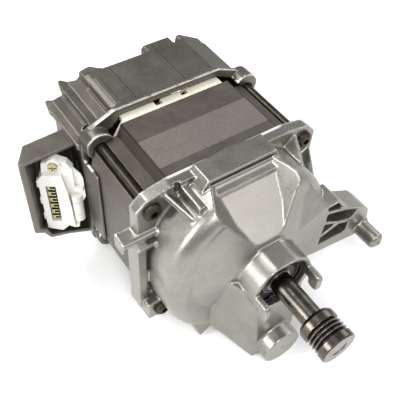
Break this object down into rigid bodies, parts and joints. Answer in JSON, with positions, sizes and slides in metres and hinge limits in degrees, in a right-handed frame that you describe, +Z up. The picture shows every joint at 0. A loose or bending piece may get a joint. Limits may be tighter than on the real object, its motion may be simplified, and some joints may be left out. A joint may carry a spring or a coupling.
{
  "type": "washing machine motor",
  "caption": "Brushed universal motor with a ribbed belt pulley, cast end shields, a mounting arm with a peg, a foot boss and a white connector.",
  "frame": {"origin": "centre of the belt pulley's front face, on the shaft axis", "axes": "+Y along the shaft from the pulley towards the back of the motor, +Z up towards the air hood, +X to the side that carries the mounting peg"},
  "size_m": [0.1852, 0.218, 0.1245],
  "materials": {
    "front_casting": "as-cast satin",
    "rear_casting": "as-cast, darker grey",
    "laminations": "stacked sheet edges with a thin dark coat",
    "copper_winding": "enamelled copper",
    "cream_insulation": "cream",
    "dark_steel": "oiled dark steel",
    "bearing_steel": "ground",
    "black_rubber": "matt",
    "white_plastic": "white",
    "brass": "tinned brass",
    "dark_plastic": "black moulded",
    "carbon": "graphite",
    "spring_steel": "wire",
    "turned_steel": "turned and ground",
    "commutator_copper": "turned copper",
    "magnet": "sintered"
  },
  "bodies": {
    "motor_frame": {"drive_end_shield": "front_casting", "rear_end_shield": "rear_casting", "stator_core": "laminations", "field_coil_upper": "copper_winding", "field_coil_lower": "copper_winding", "coil_insulation": "cream_insulation", "through_bolts": "dark_steel", "bearing_circlip": "dark_steel", "front_bearing_outer": "bearing_steel", "rear_bearing_outer": "bearing_steel", "bearing_seals": "black_rubber", "wave_washer": "dark_steel", "connector_block": "white_plastic", "connector_terminals": "brass", "connector_screw": "brass", "brush_holder_left": "dark_plastic", "brush_holder_right": "dark_plastic", "brush_spring_left": "spring_steel", "brush_spring_right": "spring_steel", "tacho_coil": "cream_insulation", "tacho_cap": "dark_plastic"},
    "rotor": {"rotor_shaft": "turned_steel", "belt_pulley": "turned_steel", "rotor_core": "laminations", "rotor_windings": "copper_winding", "commutator": "commutator_copper", "cooling_fan": "dark_plastic", "front_bearing_inner": "bearing_steel", "rear_bearing_inner": "bearing_steel", "tacho_magnet": "magnet"},
    "front_ball_cage": {"front_bearing_balls": "bearing_steel"},
    "rear_ball_cage": {"rear_bearing_balls": "bearing_steel"},
    "left_brush": {"brush_left": "carbon"},
    "right_brush": {"brush_right": "carbon"}
  },
  "joints": [
    {"name": "rotor_spin", "type": "hinge", "parent": "motor_frame", "child": "rotor", "pos_m": [0, 0.1, 0], "axis": [0, -1, 0], "continuous": true},
    {"name": "front_cage_spin", "type": "hinge", "parent": "motor_frame", "child": "front_ball_cage", "pos_m": [0, 0.0555, 0], "axis": [0, -1, 0], "continuous": true},
    {"name": "rear_cage_spin", "type": "hinge", "parent": "motor_frame", "child": "rear_ball_cage", "pos_m": [0, 0.197, 0], "axis": [0, -1, 0], "continuous": true},
    {"name": "left_brush_feed", "type": "slide", "parent": "motor_frame", "child": "left_brush", "axis": [-1, 0, 0], "range_m": [0, 0.009], "stiffness_N_per_m": 120, "springref_m": -0.012, "deforming": ["brush_spring_left"]},
    {"name": "right_brush_feed", "type": "slide", "parent": "motor_frame", "child": "right_brush", "axis": [1, 0, 0], "range_m": [0, 0.009], "stiffness_N_per_m": 120, "springref_m": -0.012, "deforming": ["brush_spring_right"]}
  ],
  "couplings": [
    {"joint": "front_cage_spin", "follows": "rotor_spin", "ratio": 0.376},
    {"joint": "rear_cage_spin", "follows": "rotor_spin", "ratio": 0.376}
  ]
}
